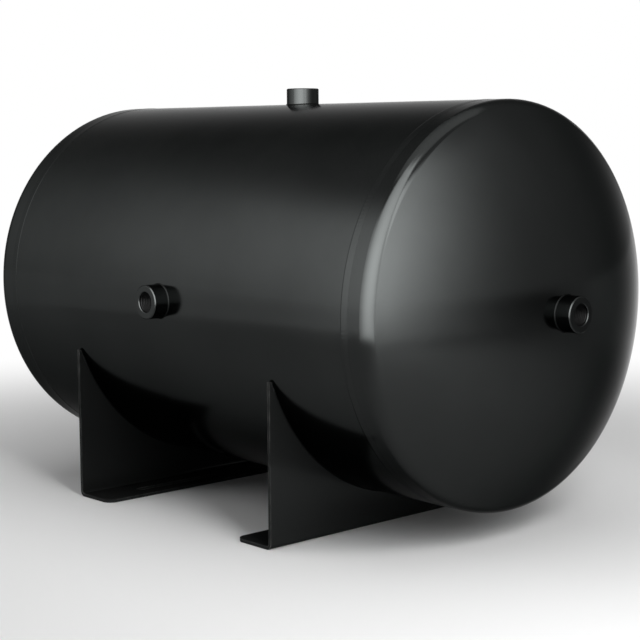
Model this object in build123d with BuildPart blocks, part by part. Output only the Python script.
"""Horizontal compressed-air tank on two bent-plate saddle legs, in millimetres.

X runs along the tank, Y from the front to the back and Z up.  The origin lies on the floor, under
the middle of the tank.
"""

import os
from math import asin, atan2, cos, degrees, radians, sin, sqrt

from build123d import *

os.makedirs("parts", exist_ok=True)

# Tank body: a rolled shell, closed by a dished head at each end
tank_diameter = 355.6
shell_length = 481.0
wall = 3.0
ground_clearance = 27.2

# Dished heads: a straight skirt, a tight knuckle and a shallow crown, all measured outside
skirt_length = 20.5
knuckle_radius = 14.0
crown_radius = 307.0
lip_length = 12.0
lip_step_length = 6.0

# Round seams between the shell and the heads
seam_bevel = 1.0
seam_crown = 0.35

# Threaded half couplings, set into holes in the shell and the heads
coupling_diameter = 31.0
coupling_bore = 18.3
coupling_length = 23.8
coupling_reach = 15.0
coupling_edge = 0.8
bore_edge = 0.6
coupling_weld = 0.8

# Saddle legs: a web cut to the tank's round and a foot bent inwards; the saddle angle, in
# degrees, is how far up each side of the tank the web reaches
leg_plate = 3.0
leg_spread = 287.4
leg_length = 340.4
saddle_angle = 70.6
foot_width = 48.0
foot_corner_radius = 10.0
bend_radius = 2.5
slot_width = 10.5
slot_length = 102.0
slot_pitch = 142.0
slot_setback = 20.0
leg_weld = 1.2
leg_weld_arc_share = 0.97

# Cuts run past what they cut by this much
overrun = 10.0

# Sizes that follow from those above
radius = tank_diameter / 2
axis_height = radius + ground_clearance
seam_x = shell_length / 2
skirt_end = seam_x + skirt_length
knuckle_height = radius - knuckle_radius
crown_centre = skirt_end - sqrt((crown_radius - knuckle_radius) ** 2 - knuckle_height**2)
crown_angle = degrees(atan2(knuckle_height, skirt_end - crown_centre))
pole = crown_centre + crown_radius
coupling_radius = coupling_diameter / 2
bore_radius = coupling_bore / 2
weld_radius = coupling_radius + coupling_weld
weld_start_angle = degrees(asin(coupling_radius / crown_radius))
weld_end_angle = degrees(asin(weld_radius / crown_radius))
web_x = leg_spread / 2
web_top = axis_height - radius * cos(radians(saddle_angle))
saddle_reach = min(leg_length / 2, radius * sin(radians(saddle_angle)))
leg_weld_arc = degrees(asin(saddle_reach / radius)) * leg_weld_arc_share

# The tank's own axis, and the plane that its sections are drawn in
tank_axis = Axis((0, 0, axis_height), (1, 0, 0))
section = Plane(origin=(0, 0, axis_height), x_dir=(1, 0, 0), z_dir=(0, -1, 0))

# Where each coupling stands on the tank's skin: its y axis points out of the mouth
top_seat = Plane(origin=(0, 0, axis_height + radius), x_dir=(1, 0, 0), z_dir=(0, -1, 0))
drain_seat = Plane(origin=(0, 0, axis_height - radius), x_dir=(1, 0, 0), z_dir=(0, 1, 0))
front_seat = Plane(origin=(0, -radius, axis_height), x_dir=(1, 0, 0), z_dir=(0, 0, -1))
rear_seat = Plane(origin=(0, radius, axis_height), x_dir=(1, 0, 0), z_dir=(0, 0, 1))
right_seat = Plane(origin=(pole, 0, axis_height), x_dir=(0, 0, 1), z_dir=(0, 1, 0))


def mouth_axis(seat):
    """The line that a coupling is turned about."""
    return Axis(seat.origin, seat.y_dir)


def crown_face(height):
    """How far out along X the crown's outer face lies at a height above the tank's axis."""
    return crown_centre + sqrt(crown_radius**2 - height**2)


# Half section of a coupling: across is its radius, up is out of the mouth
coupling_section = (
    (bore_radius, coupling_reach - coupling_length),
    (coupling_radius, coupling_reach - coupling_length),
    (coupling_radius, coupling_reach - coupling_edge),
    (coupling_radius - coupling_edge, coupling_reach),
    (bore_radius + bore_edge, coupling_reach),
    (bore_radius, coupling_reach - bore_edge),
)

# On the shell a weld's cone runs on below the skin, and what lies under the skin is cut away
weld_section = (
    (coupling_radius, coupling_weld),
    (coupling_radius + 2 * coupling_weld, -coupling_weld),
    (coupling_radius, -coupling_weld),
)


# The shell, bevelled at both ends for the seams and holed for four couplings
with BuildPart() as shell:
    with BuildSketch(section):
        with BuildLine():
            Polyline(
                (-seam_x, radius - wall),
                (-seam_x, radius - seam_bevel),
                (seam_bevel - seam_x, radius),
                (seam_x - seam_bevel, radius),
                (seam_x, radius - seam_bevel),
                (seam_x, radius - wall),
                close=True,
            )
        make_face()
    revolve(axis=tank_axis)
    with Locations((0, 0, axis_height)):
        Cylinder(coupling_radius, tank_diameter + overrun, mode=Mode.SUBTRACT)
        Cylinder(
            coupling_radius, tank_diameter + overrun, rotation=(90, 0, 0), mode=Mode.SUBTRACT
        )
shell.part.label = "shell"
export_step(shell.part, "parts/shell.step")

# The right head: its rim is stepped in to a lip that slides inside the shell
with BuildPart() as right_head:
    with BuildSketch(section):
        with BuildLine():
            CenterArc((crown_centre, 0), crown_radius, 0, crown_angle)
            CenterArc((skirt_end, knuckle_height), knuckle_radius, crown_angle, 90 - crown_angle)
            Polyline(
                (skirt_end, radius),
                (seam_x + seam_bevel, radius),
                (seam_x, radius - seam_bevel),
                (seam_x, radius - wall),
                (seam_x - lip_length, radius - wall),
                (seam_x - lip_length, radius - 2 * wall),
                (seam_x, radius - 2 * wall),
                (seam_x + lip_step_length, radius - wall),
                (skirt_end, radius - wall),
            )
            CenterArc(
                (skirt_end, knuckle_height), knuckle_radius - wall, crown_angle, 90 - crown_angle
            )
            CenterArc((crown_centre, 0), crown_radius - wall, 0, crown_angle)
            Line((pole - wall, 0), (pole, 0))
        make_face()
    revolve(axis=tank_axis)
    with Locations((pole, 0, axis_height)):
        Cylinder(
            coupling_radius, 2 * wall + overrun, rotation=(0, 90, 0), mode=Mode.SUBTRACT
        )
right_head.part.label = "right_head"
export_step(right_head.part, "parts/right_head.step")

with BuildPart() as left_head:
    mirror(right_head.part, about=Plane.YZ)
left_head.part.label = "left_head"
export_step(left_head.part, "parts/left_head.step")

# Seam welds: a bead in the bevel between the shell and each head
with BuildPart() as right_seam_weld:
    with BuildSketch(section):
        with BuildLine():
            Polyline(
                (seam_x - seam_bevel, radius),
                (seam_x, radius - seam_bevel),
                (seam_x + seam_bevel, radius),
            )
            ThreePointArc(
                (seam_x - seam_bevel, radius),
                (seam_x, radius + seam_crown),
                (seam_x + seam_bevel, radius),
            )
        make_face()
    revolve(axis=tank_axis)
right_seam_weld.part.label = "right_seam_weld"
export_step(right_seam_weld.part, "parts/right_seam_weld.step")

with BuildPart() as left_seam_weld:
    mirror(right_seam_weld.part, about=Plane.YZ)
left_seam_weld.part.label = "left_seam_weld"
export_step(left_seam_weld.part, "parts/left_seam_weld.step")

# Couplings in the shell, all at the middle of its length
with BuildPart() as top_coupling:
    with BuildSketch(top_seat):
        with BuildLine():
            Polyline(*coupling_section, close=True)
        make_face()
    revolve(axis=mouth_axis(top_seat))
top_coupling.part.label = "top_coupling"
export_step(top_coupling.part, "parts/top_coupling.step")

with BuildPart() as front_coupling:
    with BuildSketch(front_seat):
        with BuildLine():
            Polyline(*coupling_section, close=True)
        make_face()
    revolve(axis=mouth_axis(front_seat))
front_coupling.part.label = "front_coupling"
export_step(front_coupling.part, "parts/front_coupling.step")

with BuildPart() as rear_coupling:
    with BuildSketch(rear_seat):
        with BuildLine():
            Polyline(*coupling_section, close=True)
        make_face()
    revolve(axis=mouth_axis(rear_seat))
rear_coupling.part.label = "rear_coupling"
export_step(rear_coupling.part, "parts/rear_coupling.step")

with BuildPart() as drain_coupling:
    with BuildSketch(drain_seat):
        with BuildLine():
            Polyline(*coupling_section, close=True)
        make_face()
    revolve(axis=mouth_axis(drain_seat))
drain_coupling.part.label = "drain_coupling"
export_step(drain_coupling.part, "parts/drain_coupling.step")

# Couplings in the heads, on the tank's own axis
with BuildPart() as right_end_coupling:
    with BuildSketch(right_seat):
        with BuildLine():
            Polyline(*coupling_section, close=True)
        make_face()
    revolve(axis=mouth_axis(right_seat))
right_end_coupling.part.label = "right_end_coupling"
export_step(right_end_coupling.part, "parts/right_end_coupling.step")

with BuildPart() as left_end_coupling:
    mirror(right_end_coupling.part, about=Plane.YZ)
left_end_coupling.part.label = "left_end_coupling"
export_step(left_end_coupling.part, "parts/left_end_coupling.step")

# Fillet welds round the couplings: each follows the saddle where a coupling meets the shell
with BuildPart() as top_coupling_weld:
    with BuildSketch(top_seat):
        with BuildLine():
            Polyline(*weld_section, close=True)
        make_face()
    revolve(axis=mouth_axis(top_seat))
    with Locations((0, 0, axis_height)):
        Cylinder(radius, shell_length, rotation=(0, 90, 0), mode=Mode.SUBTRACT)
top_coupling_weld.part.label = "top_coupling_weld"
export_step(top_coupling_weld.part, "parts/top_coupling_weld.step")

with BuildPart() as front_coupling_weld:
    with BuildSketch(front_seat):
        with BuildLine():
            Polyline(*weld_section, close=True)
        make_face()
    revolve(axis=mouth_axis(front_seat))
    with Locations((0, 0, axis_height)):
        Cylinder(radius, shell_length, rotation=(0, 90, 0), mode=Mode.SUBTRACT)
front_coupling_weld.part.label = "front_coupling_weld"
export_step(front_coupling_weld.part, "parts/front_coupling_weld.step")

with BuildPart() as rear_coupling_weld:
    mirror(front_coupling_weld.part, about=Plane.XZ)
rear_coupling_weld.part.label = "rear_coupling_weld"
export_step(rear_coupling_weld.part, "parts/rear_coupling_weld.step")

with BuildPart() as drain_coupling_weld:
    mirror(top_coupling_weld.part, about=Plane(origin=(0, 0, axis_height), z_dir=(0, 0, 1)))
drain_coupling_weld.part.label = "drain_coupling_weld"
export_step(drain_coupling_weld.part, "parts/drain_coupling_weld.step")

with BuildPart() as right_end_coupling_weld:
    with BuildSketch(section):
        with BuildLine():
            CenterArc(
                (crown_centre, 0), crown_radius, weld_start_angle, weld_end_angle - weld_start_angle
            )
            Polyline(
                (crown_face(weld_radius), weld_radius),
                (crown_face(coupling_radius) + coupling_weld, coupling_radius),
                (crown_face(coupling_radius), coupling_radius),
            )
        make_face()
    revolve(axis=tank_axis)
right_end_coupling_weld.part.label = "right_end_coupling_weld"
export_step(right_end_coupling_weld.part, "parts/right_end_coupling_weld.step")

with BuildPart() as left_end_coupling_weld:
    mirror(right_end_coupling_weld.part, about=Plane.YZ)
left_end_coupling_weld.part.label = "left_end_coupling_weld"
export_step(left_end_coupling_weld.part, "parts/left_end_coupling_weld.step")

# The right leg: one bent plate, with two long slots in its foot and its web cut to the tank
with BuildPart() as right_leg:
    with BuildSketch(Plane.XZ):
        with BuildLine():
            Polyline(
                (web_x, web_top),
                (web_x, 0),
                (web_x - foot_width, 0),
                (web_x - foot_width, leg_plate),
                (web_x - leg_plate, leg_plate),
                (web_x - leg_plate, web_top),
                close=True,
            )
        make_face()
        fillet(vertices().sort_by_distance((web_x, 0))[0], bend_radius + leg_plate)
        fillet(vertices().sort_by_distance((web_x - leg_plate, leg_plate))[0], bend_radius)
    extrude(amount=leg_length / 2, both=True)
    fillet(edges().filter_by(Axis.Z).group_by(Axis.X)[0], foot_corner_radius)
    with BuildSketch(Plane.XY):
        with Locations(
            (web_x - foot_width + slot_setback, slot_pitch / 2),
            (web_x - foot_width + slot_setback, -slot_pitch / 2),
        ):
            SlotOverall(slot_length, slot_width, rotation=90)
    extrude(amount=leg_plate, mode=Mode.SUBTRACT)
    with Locations((0, 0, axis_height)):
        Cylinder(radius, shell_length, rotation=(0, 90, 0), mode=Mode.SUBTRACT)
right_leg.part.label = "right_leg"
export_step(right_leg.part, "parts/right_leg.step")

with BuildPart() as left_leg:
    mirror(right_leg.part, about=Plane.YZ)
left_leg.part.label = "left_leg"
export_step(left_leg.part, "parts/left_leg.step")

# Leg welds: a fillet along both faces of each web, turned about the tank's axis
with BuildPart() as right_leg_weld:
    with BuildSketch(section):
        with BuildLine():
            Polyline(
                (web_x, -radius), (web_x + leg_weld, -radius), (web_x, -radius - leg_weld), close=True
            )
        make_face()
        with BuildLine():
            Polyline(
                (web_x - leg_plate, -radius),
                (web_x - leg_plate - leg_weld, -radius),
                (web_x - leg_plate, -radius - leg_weld),
                close=True,
            )
        make_face()
    revolve(axis=tank_axis, revolution_arc=leg_weld_arc)
    mirror(about=Plane.XZ)
right_leg_weld.part.label = "right_leg_weld"
export_step(right_leg_weld.part, "parts/right_leg_weld.step")

with BuildPart() as left_leg_weld:
    mirror(right_leg_weld.part, about=Plane.YZ)
left_leg_weld.part.label = "left_leg_weld"
export_step(left_leg_weld.part, "parts/left_leg_weld.step")
